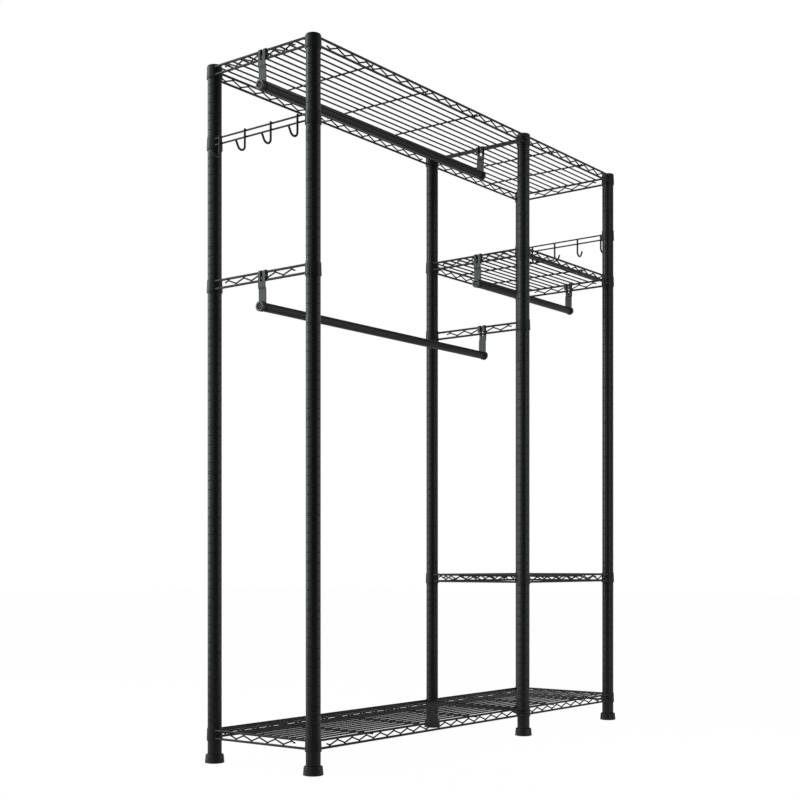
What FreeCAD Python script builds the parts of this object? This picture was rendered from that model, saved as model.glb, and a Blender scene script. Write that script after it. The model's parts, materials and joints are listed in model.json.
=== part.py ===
import FreeCAD, Part
import math
import os

os.makedirs("parts", exist_ok=True)

# Driving dimensions in millimetres. X runs left to right, the front faces -Y, Z is up from the floor.

# Layout: post centre to post centre, and the heights of the welded levels.
left_bay = 1040.0
right_bay = 567.4
depth = 370.5
height = 1969.0
top_shelf_drop = 19.0            # a drop is from the rack's top to the middle between two rails
hook_rail_drop = 220.4
right_upper_drop = 386.6
side_rail_drop = 622.5
right_lower_height = 514.0       # a height is from the floor to the middle between two rails
bottom_shelf_height = 81.5

# Grooved post tube.
post_radius = 20.0
post_wall = 1.0
lower_post_length = 960.3
groove_pitch = 25.4
groove_first = 59.6              # first groove above the lower end of the lower section
upper_groove_first = 12.0        # first groove above the post joint
groove_width = 1.8
groove_depth = 0.6
groove_end_land = 6.0            # plain tube at the ends of a section
double_every = 5                 # every fifth groove is doubled, as a height mark
lower_double = 4                 # plain grooves under the first doubled one of each section
upper_double = 3
double_spacing = 5.0
cap_lip = 2.0
cap_skirt = 12.0
cap_wall = 1.6
cap_edge = 1.0

# Threaded inserts, joining studs and levelling feet.
insert_length = 18.0
stud_radius = 5.0
stud_clearance = 0.08
stud_tip = 1.5
joint_stud_length = 34.0
foot_height = 25.0
foot_shoulder = 5.4              # foot wider than the post, all round
foot_flare = 2.1
foot_edge = 2.6
foot_base_edge = 0.8
foot_seat_gap = 0.1
foot_stud_rise = 42.0            # stud above the foot's shoulder
foot_stud_sunk = 15.0            # stud inside the foot

# Conical collars welded to the levels, and the split sleeves they wedge on.
collar_top_land = 1.1            # collar above the upper rail
collar_bottom_land = 0.6         # collar below the lower rail
collar_taper = 1.0               # radius gained from the top to the bottom
collar_wall = 0.8
sleeve_thickness = 0.5           # at the collar's top
sleeve_above = 3.0               # sleeve that shows over the collar
sleeve_lip = 0.1                 # lip under the collar, wider than the collar
sleeve_lip_gap = 0.5
sleeve_lip_height = 3.0
sleeve_bevel = 0.8
sleeve_bands = 6                 # straight bands of the wedge cone
sleeve_clearance = 0.1
sleeve_split = 3.0               # degrees of gap at each of the two slits

# Wire work.
rail_radius = 3.4
rail_spacing = 22.0
rail_offset = 12.0               # rails run this far outside the line of the post centres
lattice_radius = 2.2
lattice_bend = 4.0
lattice_tail = 0.86              # share of a half leg that each loose end keeps
long_pitch = 62.1
long_end_clear = 32.0
short_pitch = 59.2
short_end_clear = 64.0
deck_radius = 2.5
deck_pitch = 29.46
deck_collar_gap = 0.2            # front deck wire to the front collars
deck_front_count = 10
deck_back_count = 2              # deck wires behind the wider gap
deck_back_gap = 33.2
left_cross_first = 241.0
left_cross_pitch = 258.0
right_cross_first = 176.0
right_cross_pitch = 192.0
mid_bar_height = 13.0
mid_bar_thickness = 3.0
mid_bar_offset = 0.0             # the bar lies on the line of the middle posts
weld_gap = 0.05
cope_margin = 4.0                # coping cone past the collar's ends

# Hook rails.
hook_wire_radius = 2.6
hook_wire_spacing = 17.5
hook_wire_offset = 13.2
hook_radius = 3.1
hook_count = 4
hook_margin = 39.45              # outer hooks to the post centres
hook_drop = 64.35                # top of the upper wire to the bottom of the hook
hook_bend = 14.0
hook_lean = 30.0                 # degrees of the tip leg from the vertical
hook_tip = 17.5
hook_top_rise = 1.0

# Hanging rods and the forked brackets that carry them.
rod_drop = 94.0                  # rod axis below the upper rail
rod_radius = 12.5
rod_wall = 1.0
rod_end_gap = 0.05
bracket_width = 27.0
bracket_thickness = 2.5
bracket_gap = 0.3
bracket_leg = 18.0               # inner prongs below the rail's centre
slot_width = 8.0
slot_length = 33.0
jog_below = 16.0                 # start of the jog below the lower rail's centre
jog_length = 10.0
jog_inward = 3.0
plug_length = 22.0
disc_radius = 14.2
disc_thickness = 12.0
disc_edge = 1.0
disc_well_radius = 7.8
disc_well_depth = 5.0
screw_radius = 3.0
screw_head_radius = 4.6
screw_head_height = 3.8
screw_socket = 5.0
screw_socket_depth = 2.4
screw_length = 30.0
screw_clearance = 0.1

# Values worked out from the driving dimensions.
x_left = -(left_bay + right_bay) / 2
x_mid = x_left + left_bay
x_right = x_mid + right_bay
y_front = -depth / 2
y_back = depth / 2
post_bottom = foot_height + foot_seat_gap
post_joint = post_bottom + lower_post_length
post_top = height - cap_lip
tube_bore = post_radius - post_wall
foot_top_radius = post_radius + foot_shoulder
foot_bottom_radius = foot_top_radius + foot_flare
top_shelf_height = height - top_shelf_drop
hook_rail_height = height - hook_rail_drop
right_upper_height = height - right_upper_drop
side_rail_height = height - side_rail_drop
columns = {"left": x_left, "mid": x_mid, "right": x_right}
rows = {"front": y_front, "back": y_back}
rail_half = rail_spacing / 2
collar_above = rail_half + rail_radius + collar_top_land
collar_below = rail_half + rail_radius + collar_bottom_land
collar_top_radius = post_radius + sleeve_thickness + 2 * sleeve_clearance + collar_wall
collar_bottom_radius = collar_top_radius + collar_taper
hook_pitch = (depth - 2 * hook_margin) / (hook_count - 1)


def at(x, y, z):
    return FreeCAD.Vector(x, y, z)


def moved(shape, x, y, z=0.0):
    copy = shape.copy()
    copy.translate(at(x, y, z))
    return copy


def outline(start, steps, place):
    # A step is a point for a straight side, or a pair (through, end) for an arc.
    edges = []
    here = start
    for step in steps:
        if isinstance(step[0], tuple):
            through, end = step
            edges.append(Part.Arc(place(here), place(through), place(end)).toShape())
        else:
            end = step
            edges.append(Part.LineSegment(place(here), place(end)).toShape())
        here = end
    return edges


def radial(point):
    return at(point[0], 0, point[1])


def lathe(start, steps, angle=360.0, turn=0.0):
    # A closed profile of (radius, height) turned about the Z axis.
    edges = outline(start, steps + [start], radial)
    solid = Part.Face(Part.Wire(edges)).revolve(at(0, 0, 0), at(0, 0, 1), angle)
    if turn:
        solid.rotate(at(0, 0, 0), at(0, 0, 1), turn)
    return solid


def ring(outer, inner, bottom, top):
    return lathe((inner, bottom), [(outer, bottom), (outer, top), (inner, top)])


def cylinder(start, end, radius):
    return Part.makeCylinder(radius, (end - start).Length, start, end - start)


def swept(edges, section):
    return Part.Wire(edges).makePipeShell([section], True, False)


def round_section(edges, radius):
    start = edges[0].valueAt(edges[0].FirstParameter)
    along = edges[0].tangentAt(edges[0].FirstParameter)
    return Part.Wire([Part.makeCircle(radius, start, along)])


def save(name, shapes):
    solids = [solid for shape in shapes for solid in shape.Solids]
    for solid in solids:
        if not solid.isValid() or solid.Volume <= 0:
            raise ValueError(name + " has a bad solid")
    whole = solids[0] if len(solids) == 1 else Part.makeCompound(solids)
    whole.exportStep("parts/" + name + ".step")


def post_places(names):
    return [(columns[column], rows[row]) for column in names for row in rows]


# Posts: tubes with rolled grooves, every fifth one doubled, in a lower and an upper section.

def groove_run(first, top, plain):
    # Equal steps up to the section's end; every fifth groove has a twin just below it.
    count = int((top - groove_end_land - first) / groove_pitch) + 1
    heights = []
    for number in range(count):
        middle = first + number * groove_pitch
        if number % double_every == plain:
            heights.append(middle - double_spacing)
        heights.append(middle)
    return heights


lower_grooves = groove_run(post_bottom + groove_first, post_joint, lower_double)
upper_grooves = groove_run(post_joint + upper_groove_first, post_top, upper_double)


def post_section(bottom, top, grooves):
    steps = [(post_radius, bottom)]
    for z in grooves:
        steps.append((post_radius, z - groove_width / 2))
        steps.append(((post_radius - groove_depth, z), (post_radius, z + groove_width / 2)))
    steps += [(post_radius, top), (tube_bore, top)]
    return lathe((tube_bore, bottom), steps)


def post_cap():
    skirt = tube_bore - sleeve_clearance
    core = skirt - cap_wall
    low = post_top - cap_skirt
    shoulder = cap_edge * (1 - math.sqrt(0.5))
    rounding = ((post_radius - shoulder, height - shoulder), (post_radius - cap_edge, height))
    return lathe((0.0, height), [
        (0.0, post_top), (core, post_top), (core, low), (skirt, low), (skirt, post_top),
        (post_radius, post_top), (post_radius, height - cap_edge), rounding])


def threaded_insert(bottom):
    outer = tube_bore - sleeve_clearance
    return ring(outer, stud_radius + stud_clearance, bottom, bottom + insert_length)


def build_posts():
    lower = post_section(post_bottom, post_joint, lower_grooves)
    upper = post_section(post_joint, post_top, upper_grooves)
    for row in rows:
        for column in columns:
            place = (columns[column], rows[row])
            save("lower_post_" + row + "_" + column, [moved(lower, *place)])
            save("upper_post_" + row + "_" + column, [moved(upper, *place)])
    places = post_places(columns)
    save("post_top_caps", [moved(post_cap(), *place) for place in places])
    seats = (post_bottom, post_joint - insert_length, post_joint)
    inserts = [threaded_insert(seat) for seat in seats]
    save("threaded_inserts", [moved(insert, *place) for place in places for insert in inserts])
    half = joint_stud_length / 2
    stud = cylinder(at(0, 0, post_joint - half), at(0, 0, post_joint + half), stud_radius)
    save("post_joint_studs", [moved(stud, *place) for place in places])


# Levelling feet: a tapered plastic foot moulded round a stud that screws into the post's insert.

def foot_pad():
    seat = stud_radius + stud_clearance
    hole = foot_height - foot_stud_sunk - stud_clearance
    corner = foot_edge * (1 - math.sqrt(0.5))
    rounding = ((foot_top_radius - corner, foot_height - corner), (foot_top_radius - foot_edge, foot_height))
    return lathe((0.0, 0.0), [
        (foot_bottom_radius - foot_base_edge, 0.0), (foot_bottom_radius, foot_base_edge),
        (foot_top_radius, foot_height - foot_edge), rounding,
        (seat, foot_height), (seat, hole), (0.0, hole)])


def foot_stud():
    low = foot_height - foot_stud_sunk
    high = foot_height + foot_stud_rise
    return lathe((0.0, low), [
        (stud_radius, low), (stud_radius, high - stud_tip), (stud_radius - stud_tip, high), (0.0, high)])


def build_feet():
    for row in rows:
        for column in columns:
            place = (columns[column], rows[row])
            save("foot_" + row + "_" + column, [moved(foot_pad(), *place)])
            save("foot_stud_" + row + "_" + column, [moved(foot_stud(), *place)])


# Collars and split sleeves. The sleeve's inner ridge sits in the groove nearest to its middle.

def collar_radius(z):
    slope = collar_taper / (collar_above + collar_below)
    return collar_top_radius + slope * (collar_above - z)


def collar():
    top = collar_above
    low = -collar_below
    return lathe((collar_radius(low) - collar_wall, low), [
        (collar_radius(low), low), (collar_radius(top), top), (collar_radius(top) - collar_wall, top)])


def collar_core():
    # Full cone just larger than the collar, for coping the wires that butt on it.
    low = -collar_below - cope_margin
    top = collar_above + cope_margin
    return lathe((0.0, low), [
        (collar_radius(low) + weld_gap, low), (collar_radius(top) + weld_gap, top), (0.0, top)])


def nearest_groove(z):
    return min(lower_grooves + upper_grooves, key=lambda groove: abs(groove - z))


def sleeve_halves(level):
    # A wedge cone inside the collar over a lip that shows under it.
    bore = post_radius + sleeve_clearance
    shrink = collar_wall + sleeve_clearance
    top = min(collar_above + sleeve_above, post_top - level)
    ledge = -collar_below - sleeve_lip_gap
    low = ledge - sleeve_lip_height
    lip = collar_bottom_radius + sleeve_lip
    ridge = nearest_groove(level + (top + low) / 2) - level
    half = groove_width / 2 - sleeve_clearance
    crest = post_radius - groove_depth + sleeve_clearance * 2
    steps = [(lip - sleeve_bevel, low), (lip, low + sleeve_bevel), (lip, ledge)]
    for number in range(sleeve_bands + 1):
        z = ledge + (top - ledge) * number / sleeve_bands
        steps.append((collar_radius(z) - shrink, z))
    steps += [(bore, top), (bore, ridge + half), (crest, ridge + half / 3)]
    steps += [(crest, ridge - half / 3), (bore, ridge - half)]
    turn = 180.0 - sleeve_split
    return [lathe((bore, low), steps, turn, start) for start in (sleeve_split / 2, 180.0 + sleeve_split / 2)]


# Trusses: two rails with a bent lattice wire between them, coped to the collars at both ends.

def lattice(length, pitch, end_clear, outer_low):
    # Bends touch the rails from between, and both loose ends stop nearly half way up a leg.
    reach = rail_half - rail_radius - lattice_radius - weld_gap
    spans = int((length - 2 * end_clear) / pitch)
    first = (length - spans * pitch) / 2
    angle = math.atan2(2 * reach, pitch / 2)
    peak = reach + lattice_bend * (1 / math.cos(angle) - 1)
    angle = math.atan2(2 * peak, pitch / 2)
    peak = reach + lattice_bend * (1 / math.cos(angle) - 1)
    run = lattice_bend * math.sin(angle)
    dip = lattice_bend * (1 / math.cos(angle) - math.cos(angle))
    sign = -1 if outer_low else 1
    steps = []
    for number in range(2 * spans + 1):
        x = first + number * pitch / 2
        side = sign if number % 2 == 0 else -sign
        steps.append((x - run, side * (peak - dip)))
        steps.append(((x, side * reach), (x + run, side * (peak - dip))))
    tail = lattice_tail * pitch / 4
    tail_z = sign * peak * (1 - lattice_tail)
    steps.append((length - first + tail, tail_z))
    edges = outline((first - tail, tail_z), steps, radial)
    return swept(edges, round_section(edges, lattice_radius))


def coped(shape, ends, level):
    for x, y in ends:
        shape = shape.cut(moved(collar_core(), x, y, level))
    return shape


def truss(start, end, outward, level, low_ends):
    along = at(end[0] - start[0], end[1] - start[1], 0)
    shift = at(outward[0], outward[1], 0) * rail_offset
    a = at(start[0], start[1], level) + shift
    pieces = []
    for rise in (rail_half, -rail_half):
        foot = a + at(0, 0, rise)
        pieces.append(coped(cylinder(foot, foot + along, rail_radius), (start, end), level))
    pitch = long_pitch if low_ends else short_pitch
    clear = long_end_clear if low_ends else short_end_clear
    wire = lattice(along.Length, pitch, clear, low_ends)
    wire.rotate(at(0, 0, 0), at(0, 0, 1), math.degrees(math.atan2(along.y, along.x)))
    wire.translate(a)
    pieces.append(wire)
    return pieces


def collars(places, level):
    return [moved(collar(), x, y, level) for x, y in places]


def end_truss(x, side, level):
    return truss((x, y_front), (x, y_back), (side, 0), level, False)


def side_trusses(x_start, x_end, level):
    front = truss((x_start, y_front), (x_end, y_front), (0, -1), level, True)
    back = truss((x_start, y_back), (x_end, y_back), (0, 1), level, True)
    return front + back


# Shelf decks: long wires between the end rails on cross wires, and a flat bar at the middle posts.

def deck_reach():
    # Least distance from a post's centre at which a deck wire passes the collar.
    return collar_radius(rail_half - deck_radius) + deck_radius


def deck_rows():
    start = y_front + deck_reach() + deck_collar_gap
    rows_at = [start + number * deck_pitch for number in range(deck_front_count)]
    start = rows_at[-1] + deck_back_gap
    return rows_at + [start + number * deck_pitch for number in range(deck_back_count)]


def deck_wires(names, level):
    # Wires run from end rail to end rail, or butt on the collars where a post is in their way.
    z = level + rail_half
    x_start = columns[names[0]]
    x_end = columns[names[-1]]
    inset = rail_offset - rail_radius - weld_gap
    wires = []
    for y in deck_rows():
        if min(y - y_front, y_back - y) > deck_reach():
            wires.append(cylinder(at(x_start - inset, y, z), at(x_end + inset, y, z), deck_radius))
        else:
            wire = cylinder(at(x_start, y, z), at(x_end, y, z), deck_radius)
            wires.append(coped(wire, post_places(names), level))
    return wires


def cross_wires(x_start, length, first, pitch, level):
    z = level + rail_half - 2 * deck_radius - weld_gap
    reach = depth / 2 + rail_offset - rail_radius - weld_gap
    wires = []
    x = first
    while x < length - pitch / 2:
        wires.append(cylinder(at(x_start + x, -reach, z), at(x_start + x, reach, z), deck_radius))
        x += pitch
    return wires


def mid_bar_top(level):
    return level + rail_half - deck_radius - weld_gap


def mid_bar(level):
    corner = at(x_mid + mid_bar_offset - mid_bar_thickness / 2, y_front, mid_bar_top(level) - mid_bar_height)
    bar = Part.makeBox(mid_bar_thickness, depth, mid_bar_height, corner)
    return coped(bar, post_places(["mid"]), level)


def left_cross_wires(level):
    return cross_wires(x_left, left_bay, left_cross_first, left_cross_pitch, level)


def right_cross_wires(level):
    return cross_wires(x_mid, right_bay, right_cross_first, right_cross_pitch, level)


def build_full_shelf(name, level):
    places = post_places(columns)
    frame = collars(places, level) + side_trusses(x_left, x_mid, level) + side_trusses(x_mid, x_right, level)
    frame += end_truss(x_left, -1, level) + end_truss(x_right, 1, level) + [mid_bar(level)]
    save(name + "_frame", frame)
    deck = deck_wires(list(columns), level) + left_cross_wires(level) + right_cross_wires(level)
    save(name + "_deck", deck)


def build_right_shelf(name, level):
    places = post_places(["mid", "right"])
    frame = collars(places, level) + side_trusses(x_mid, x_right, level)
    frame += end_truss(x_mid, -1, level) + end_truss(x_right, 1, level)
    save(name + "_frame", frame)
    save(name + "_deck", deck_wires(["mid", "right"], level) + right_cross_wires(level))


def build_side_rail(name, column, side):
    places = post_places([column])
    save(name, collars(places, side_rail_height) + end_truss(columns[column], side, side_rail_height))


def build_sleeves():
    levels = [
        (top_shelf_height, columns), (bottom_shelf_height, columns),
        (right_upper_height, ("mid", "right")), (right_lower_height, ("mid", "right")),
        (side_rail_height, ("left", "mid")), (hook_rail_height, ("left", "right"))]
    halves = []
    for level, names in levels:
        pair = sleeve_halves(level)
        halves += [moved(half, x, y, level) for x, y in post_places(names) for half in pair]
    save("split_sleeves", halves)


# Hook rails: two plain wires between the end posts with bent wire hooks on the outside.

def hook(side, x, y):
    top = hook_rail_height + hook_wire_spacing / 2 + hook_wire_radius
    shank = hook_wire_offset + hook_wire_radius + hook_radius + weld_gap
    low = top - hook_drop + hook_radius + hook_bend
    middle = shank + hook_bend
    sine = math.sin(math.radians(hook_lean))
    cosine = math.cos(math.radians(hook_lean))
    bend_end = (middle + hook_bend * cosine, low - hook_bend * sine)
    tip = (bend_end[0] + hook_tip * sine, bend_end[1] + hook_tip * cosine)

    def place(point):
        return at(x + side * point[0], y, point[1])

    edges = outline((shank, top + hook_top_rise), [
        (shank, low), ((middle, low - hook_bend), bend_end), tip], place)
    return swept(edges, round_section(edges, hook_radius))


def build_hook_rail(name, column, side):
    x = columns[column]
    places = post_places([column])
    pieces = collars(places, hook_rail_height)
    for rise in (hook_wire_spacing / 2, -hook_wire_spacing / 2):
        z = hook_rail_height + rise
        start = at(x + side * hook_wire_offset, y_front, z)
        wire = cylinder(start, start + at(0, depth, 0), hook_wire_radius)
        pieces.append(coped(wire, places, hook_rail_height))
    save(name + "_hook_rail", pieces)
    half = (hook_count - 1) / 2
    save(name + "_hooks", [hook(side, x, (number - half) * hook_pitch) for number in range(hook_count)])


# Hanging rods: tube, plugs, forked brackets hooked over a rail, end discs and socket screws.

fold_inside = max(rail_radius, mid_bar_thickness / 2) + bracket_gap
fold_middle = fold_inside + bracket_thickness / 2
eye_shift = fold_middle - jog_inward
rod_y = deck_rows()[deck_front_count // 2]     # the forks straddle a deck wire near the middle


def s_bend(start, end):
    # Two equal arcs that leave and arrive vertically.
    du = (end[0] - start[0]) / 2
    dz = (end[1] - start[1]) / 2
    radius = (du * du + dz * dz) / (2 * abs(du))
    half = math.atan2(abs(dz), radius - abs(du)) / 2
    inset = math.copysign(radius * (1 - math.cos(half)), du)
    drop = math.copysign(radius * math.sin(half), dz)
    centre = (start[0] + du, start[1] + dz)
    return [((start[0] + inset, start[1] + drop), centre), ((end[0] - inset, end[1] - drop), end)]


def bracket(offset, hook_z, lower_rail, rod_z):
    # Local frame: X points outwards from the post line, the strip is bent in the XZ plane.
    inner = offset - fold_middle
    outer = offset + fold_middle
    eye = offset + eye_shift
    jog = lower_rail - jog_below
    edges = outline((inner, hook_z - bracket_leg), [
        (inner, hook_z), ((offset, hook_z + fold_middle), (outer, hook_z)), (outer, jog)]
        + s_bend((outer, jog), (eye, jog - jog_length))
        + [(eye, rod_z - bracket_width / 2)], radial)
    half = bracket_width / 2
    t = bracket_thickness / 2
    corners = [(-t, -half), (t, -half), (t, half), (-t, half), (-t, -half)]
    section = Part.makePolygon([at(inner + u, y, hook_z - bracket_leg) for u, y in corners])
    strip = swept(edges, section)
    crown = hook_z + fold_middle + bracket_thickness
    near = inner - bracket_thickness
    through = at(2 * (fold_middle + bracket_thickness), 0, 0)
    stencil = outline((-half, rod_z), [
        ((0.0, rod_z - half), (half, rod_z)), (half, crown), (-half, crown), (-half, rod_z)],
        lambda point: at(near, point[0], point[1]))
    strip = strip.common(Part.Face(Part.Wire(stencil)).extrude(through))
    slot_low = hook_z + fold_middle + t - slot_length + slot_width / 2
    slot = Part.makeBox(through.x, slot_width, crown - slot_low, at(near, -slot_width / 2, slot_low))
    end = cylinder(at(near, 0, slot_low), at(near, 0, slot_low) + through, slot_width / 2)
    hole = cylinder(at(near, 0, rod_z), at(near, 0, rod_z) + through, screw_radius + screw_clearance)
    return strip.cut(slot.fuse(end)).cut(hole)


def end_disc():
    top = disc_thickness
    bore = screw_radius + screw_clearance
    well_low = top - disc_well_depth
    return lathe((bore, 0.0), [
        (disc_radius, 0.0), (disc_radius, top - disc_edge), (disc_radius - disc_edge, top),
        (disc_well_radius, top), (disc_well_radius, well_low), (bore, well_low)])


def socket_screw():
    seat = disc_thickness - disc_well_depth
    top = seat + screw_head_height
    shank = lathe((0.0, top - screw_length), [
        (screw_radius, top - screw_length), (screw_radius, seat), (screw_head_radius, seat),
        (screw_head_radius, top), (0.0, top)])
    across = screw_socket / math.sqrt(3)
    corners = [at(across * math.cos(math.radians(60 * n)), across * math.sin(math.radians(60 * n)), top)
               for n in range(7)]
    socket = Part.Face(Part.makePolygon(corners)).extrude(at(0, 0, -screw_socket_depth))
    return shank.cut(socket)


def rod_plug():
    outer = rod_radius - rod_wall - sleeve_clearance
    return ring(outer, screw_radius + screw_clearance, -plug_length, 0.0)


def faced(shape, x, side, y, z):
    # Turns a piece made along +Z to point outwards along X.
    copy = shape.copy()
    copy.rotate(at(0, 0, 0), at(0, 1, 0), 90 * side)
    return moved(copy, x, y, z)


def sided(shape, x, side):
    copy = shape.copy()
    if side < 0:
        copy.rotate(at(0, 0, 0), at(0, 0, 1), 180)
    return moved(copy, x, rod_y)


def build_rod(name, x_start, x_end, level, hooks):
    # hooks holds, for the left and the right end, the fold's offset from the posts and its height.
    rod_z = level + rail_half - rod_drop
    ends = (("left", x_start, -1, hooks[0]), ("right", x_end, 1, hooks[1]))
    tube_ends = []
    plugs = []
    discs = []
    screws = []
    for label, x, side, (offset, hook_z) in ends:
        strip = bracket(offset, hook_z, level - rail_half, rod_z)
        save(name + "_" + label + "_bracket", [sided(strip, x, side)])
        reach = bracket_thickness / 2 + rod_end_gap
        inside = x + side * (offset + eye_shift - reach)
        outside = x + side * (offset + eye_shift + reach)
        tube_ends.append(at(inside, rod_y, rod_z))
        plugs.append(faced(rod_plug(), inside, side, rod_y, rod_z))
        discs.append(faced(end_disc(), outside, side, rod_y, rod_z))
        screws.append(faced(socket_screw(), outside, side, rod_y, rod_z))
    save(name, [cylinder(*tube_ends, rod_radius).cut(cylinder(*tube_ends, rod_radius - rod_wall))])
    save(name + "_plugs", plugs)
    save(name + "_end_discs", discs)
    save(name + "_screws", screws)


def rail_hook(level):
    return (rail_offset, level + rail_half)


def bar_hook(level):
    # The round fold rests on the two top edges of the flat bar.
    rise = math.sqrt(fold_inside ** 2 - (mid_bar_thickness / 2) ** 2)
    return (mid_bar_offset, mid_bar_top(level) + bracket_gap - rise)


build_posts()
build_feet()
build_sleeves()
build_full_shelf("top_shelf", top_shelf_height)
build_full_shelf("bottom_shelf", bottom_shelf_height)
build_right_shelf("right_upper_shelf", right_upper_height)
build_right_shelf("right_lower_shelf", right_lower_height)
build_side_rail("left_side_rail", "left", -1)
build_side_rail("mid_side_rail", "mid", 1)
build_hook_rail("left", "left", -1)
build_hook_rail("right", "right", 1)
upper_hooks = (rail_hook(top_shelf_height), bar_hook(top_shelf_height))
build_rod("upper_rod", x_left, x_mid, top_shelf_height, upper_hooks)
build_rod("lower_rod", x_left, x_mid, side_rail_height, [rail_hook(side_rail_height)] * 2)
build_rod("right_rod", x_mid, x_right, right_upper_height, [rail_hook(right_upper_height)] * 2)
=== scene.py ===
import json
import math
import bpy
import numpy as np
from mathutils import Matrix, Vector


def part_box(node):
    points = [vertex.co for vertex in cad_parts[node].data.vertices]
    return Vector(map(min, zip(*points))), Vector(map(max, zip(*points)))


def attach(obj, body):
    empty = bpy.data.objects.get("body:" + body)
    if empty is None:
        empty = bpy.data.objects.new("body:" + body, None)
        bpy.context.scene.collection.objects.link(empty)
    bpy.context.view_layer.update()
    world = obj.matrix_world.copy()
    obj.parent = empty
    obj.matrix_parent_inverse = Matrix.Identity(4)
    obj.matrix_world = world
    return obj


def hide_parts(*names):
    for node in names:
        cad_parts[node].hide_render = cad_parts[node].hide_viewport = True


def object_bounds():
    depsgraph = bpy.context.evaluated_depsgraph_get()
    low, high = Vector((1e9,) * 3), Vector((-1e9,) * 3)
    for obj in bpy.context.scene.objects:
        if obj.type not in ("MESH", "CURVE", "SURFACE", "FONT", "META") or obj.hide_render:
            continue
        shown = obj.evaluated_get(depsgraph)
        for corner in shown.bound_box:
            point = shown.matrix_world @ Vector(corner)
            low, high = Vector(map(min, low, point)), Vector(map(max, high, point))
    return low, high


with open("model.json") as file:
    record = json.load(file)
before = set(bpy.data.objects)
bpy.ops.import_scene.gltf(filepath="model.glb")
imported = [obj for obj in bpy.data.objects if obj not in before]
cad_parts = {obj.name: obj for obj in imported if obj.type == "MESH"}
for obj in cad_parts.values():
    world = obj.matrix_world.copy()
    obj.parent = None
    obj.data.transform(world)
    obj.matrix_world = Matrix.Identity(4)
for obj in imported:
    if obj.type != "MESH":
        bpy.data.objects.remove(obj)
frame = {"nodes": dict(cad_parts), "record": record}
cadLow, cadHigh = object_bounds()
print("frame loaded:", len(frame["nodes"]), "nodes")

rowNames = ("front", "back")
columnNames = ("left", "mid", "right")


def postCentre(row, column):  # middle of a post's box, seen from above
    low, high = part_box("lower_post_%s_%s" % (row, column))
    return np.array([(low.x + high.x) / 2, (low.y + high.y) / 2])


posts = {(row, column): postCentre(row, column) for row in rowNames for column in columnNames}
xAt = {column: posts["front", column][0] for column in columnNames}
yAt = {row: posts[row, "left"][1] for row in rowNames}
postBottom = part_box("lower_post_front_left")[0].z
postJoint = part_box("lower_post_front_left")[1].z
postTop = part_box("upper_post_front_left")[1].z

# conical collar of every level, measured from the middle between the two rails
collarShape = {"above": 0.0155, "below": 0.015, "topRadius": 0.0215, "taper": 0.001, "wall": 0.0008,
               "edge": 0.0002, "sides": 56}


def levelOf(node):  # a level's lowest points are its collars' lower rims
    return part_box(node)[0].z + collarShape["below"]


levels = {"top": levelOf("top_shelf_frame"), "bottom": levelOf("bottom_shelf_frame"),
          "rightUpper": levelOf("right_upper_shelf_frame"), "rightLower": levelOf("right_lower_shelf_frame"),
          "sideRail": levelOf("left_side_rail"), "hookRail": levelOf("left_hook_rail")}


# Surfaces. Each is (points, quads, caps); a cap is a ring of point numbers closed by one flat face.

# points on a fillet, and how far out its close points lie, in tangent lengths
filletShape = {"steps": 5, "hold": 1.5}
tipRings = 4  # rings on the rounded tip of a wire
beadShape = {"latitudes": (-72, -40, 0, 40, 72), "sides": 8}
sharpAngle = 35  # degrees, past which an edge is drawn sharp


def aroundAngles(sides):  # equal steps of a whole turn
    return np.arange(sides) / sides * 2 * math.pi


def gridQuads(rows, sides, closeRows, closeSides):
    # neighbours on a grid of rows by sides, wrapped round where a direction is closed
    i = np.arange(rows if closeRows else rows - 1)[:, None]
    j = np.arange(sides if closeSides else sides - 1)[None, :]
    over, right = (i + 1) % rows, (j + 1) % sides
    corners = [i * sides + j, i * sides + right, over * sides + right, over * sides + j]
    return np.stack(corners, -1).reshape(-1, 4)


def facedOut(points, quads, caps=()):
    # the signed volume of a closed skin is the sum of its corner tetrahedra; a negative one is turned round
    near = points - points.mean(0)
    a, b, c, d = (near[quads[:, k]] for k in range(4))
    volume = np.sum(a * np.cross(b, c)) + np.sum(a * np.cross(c, d))
    for cap in caps:
        rim = near[cap]
        volume += np.sum(rim[0] * np.cross(rim[1:-1], rim[2:]))
    if volume < 0:
        return points, quads[:, ::-1], [cap[::-1] for cap in caps]
    return points, quads, list(caps)


def skin(grid, closeRows=False):
    # a grid of points closed round its sides, with both end rings capped, or with the rows closed to a ring
    rows, sides = grid.shape[:2]
    quads = gridQuads(rows, sides, closeRows, True)
    ring = np.arange(sides)
    ends = [] if closeRows else [ring[::-1], ring + (rows - 1) * sides]
    return facedOut(grid.reshape(-1, 3), quads, ends)


def softProfile(corners):
    # corners of (radius, height, fillet): each is rounded by a parabola between its two tangent points, with
    # one close point on either side that keeps the flats flat
    table = np.array(corners, float)
    points, fillet = table[:, :2], table[:, 2]
    before = np.roll(points, 1, 0) - points
    after = np.roll(points, -1, 0) - points
    before /= np.linalg.norm(before, axis=1, keepdims=True)
    after /= np.linalg.norm(after, axis=1, keepdims=True)
    opening = np.arccos(np.clip(np.sum(before * after, 1), -1, 1))
    reach = (fillet / np.tan(opening / 2))[:, None, None]
    u = np.linspace(0, 1, filletShape["steps"])
    hold = [filletShape["hold"]]
    back = np.concatenate([hold, (1 - u) ** 2, [0]])[None, :, None]
    on = np.concatenate([[0], u ** 2, hold])[None, :, None]
    made = points[:, None] + before[:, None] * reach * back + after[:, None] * reach * on
    keep = (fillet[:, None] > 0) | (np.arange(back.size)[None] == 0)
    return made[keep]


def spun(profile, angle):
    # a profile of (radius, height) carried round an upright axis: (r cos a, r sin a, h)
    r = profile[:, :1]
    h = np.repeat(profile[:, 1:2], len(angle), 1)
    return np.stack([r * np.cos(angle), r * np.sin(angle), h], -1)


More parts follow.
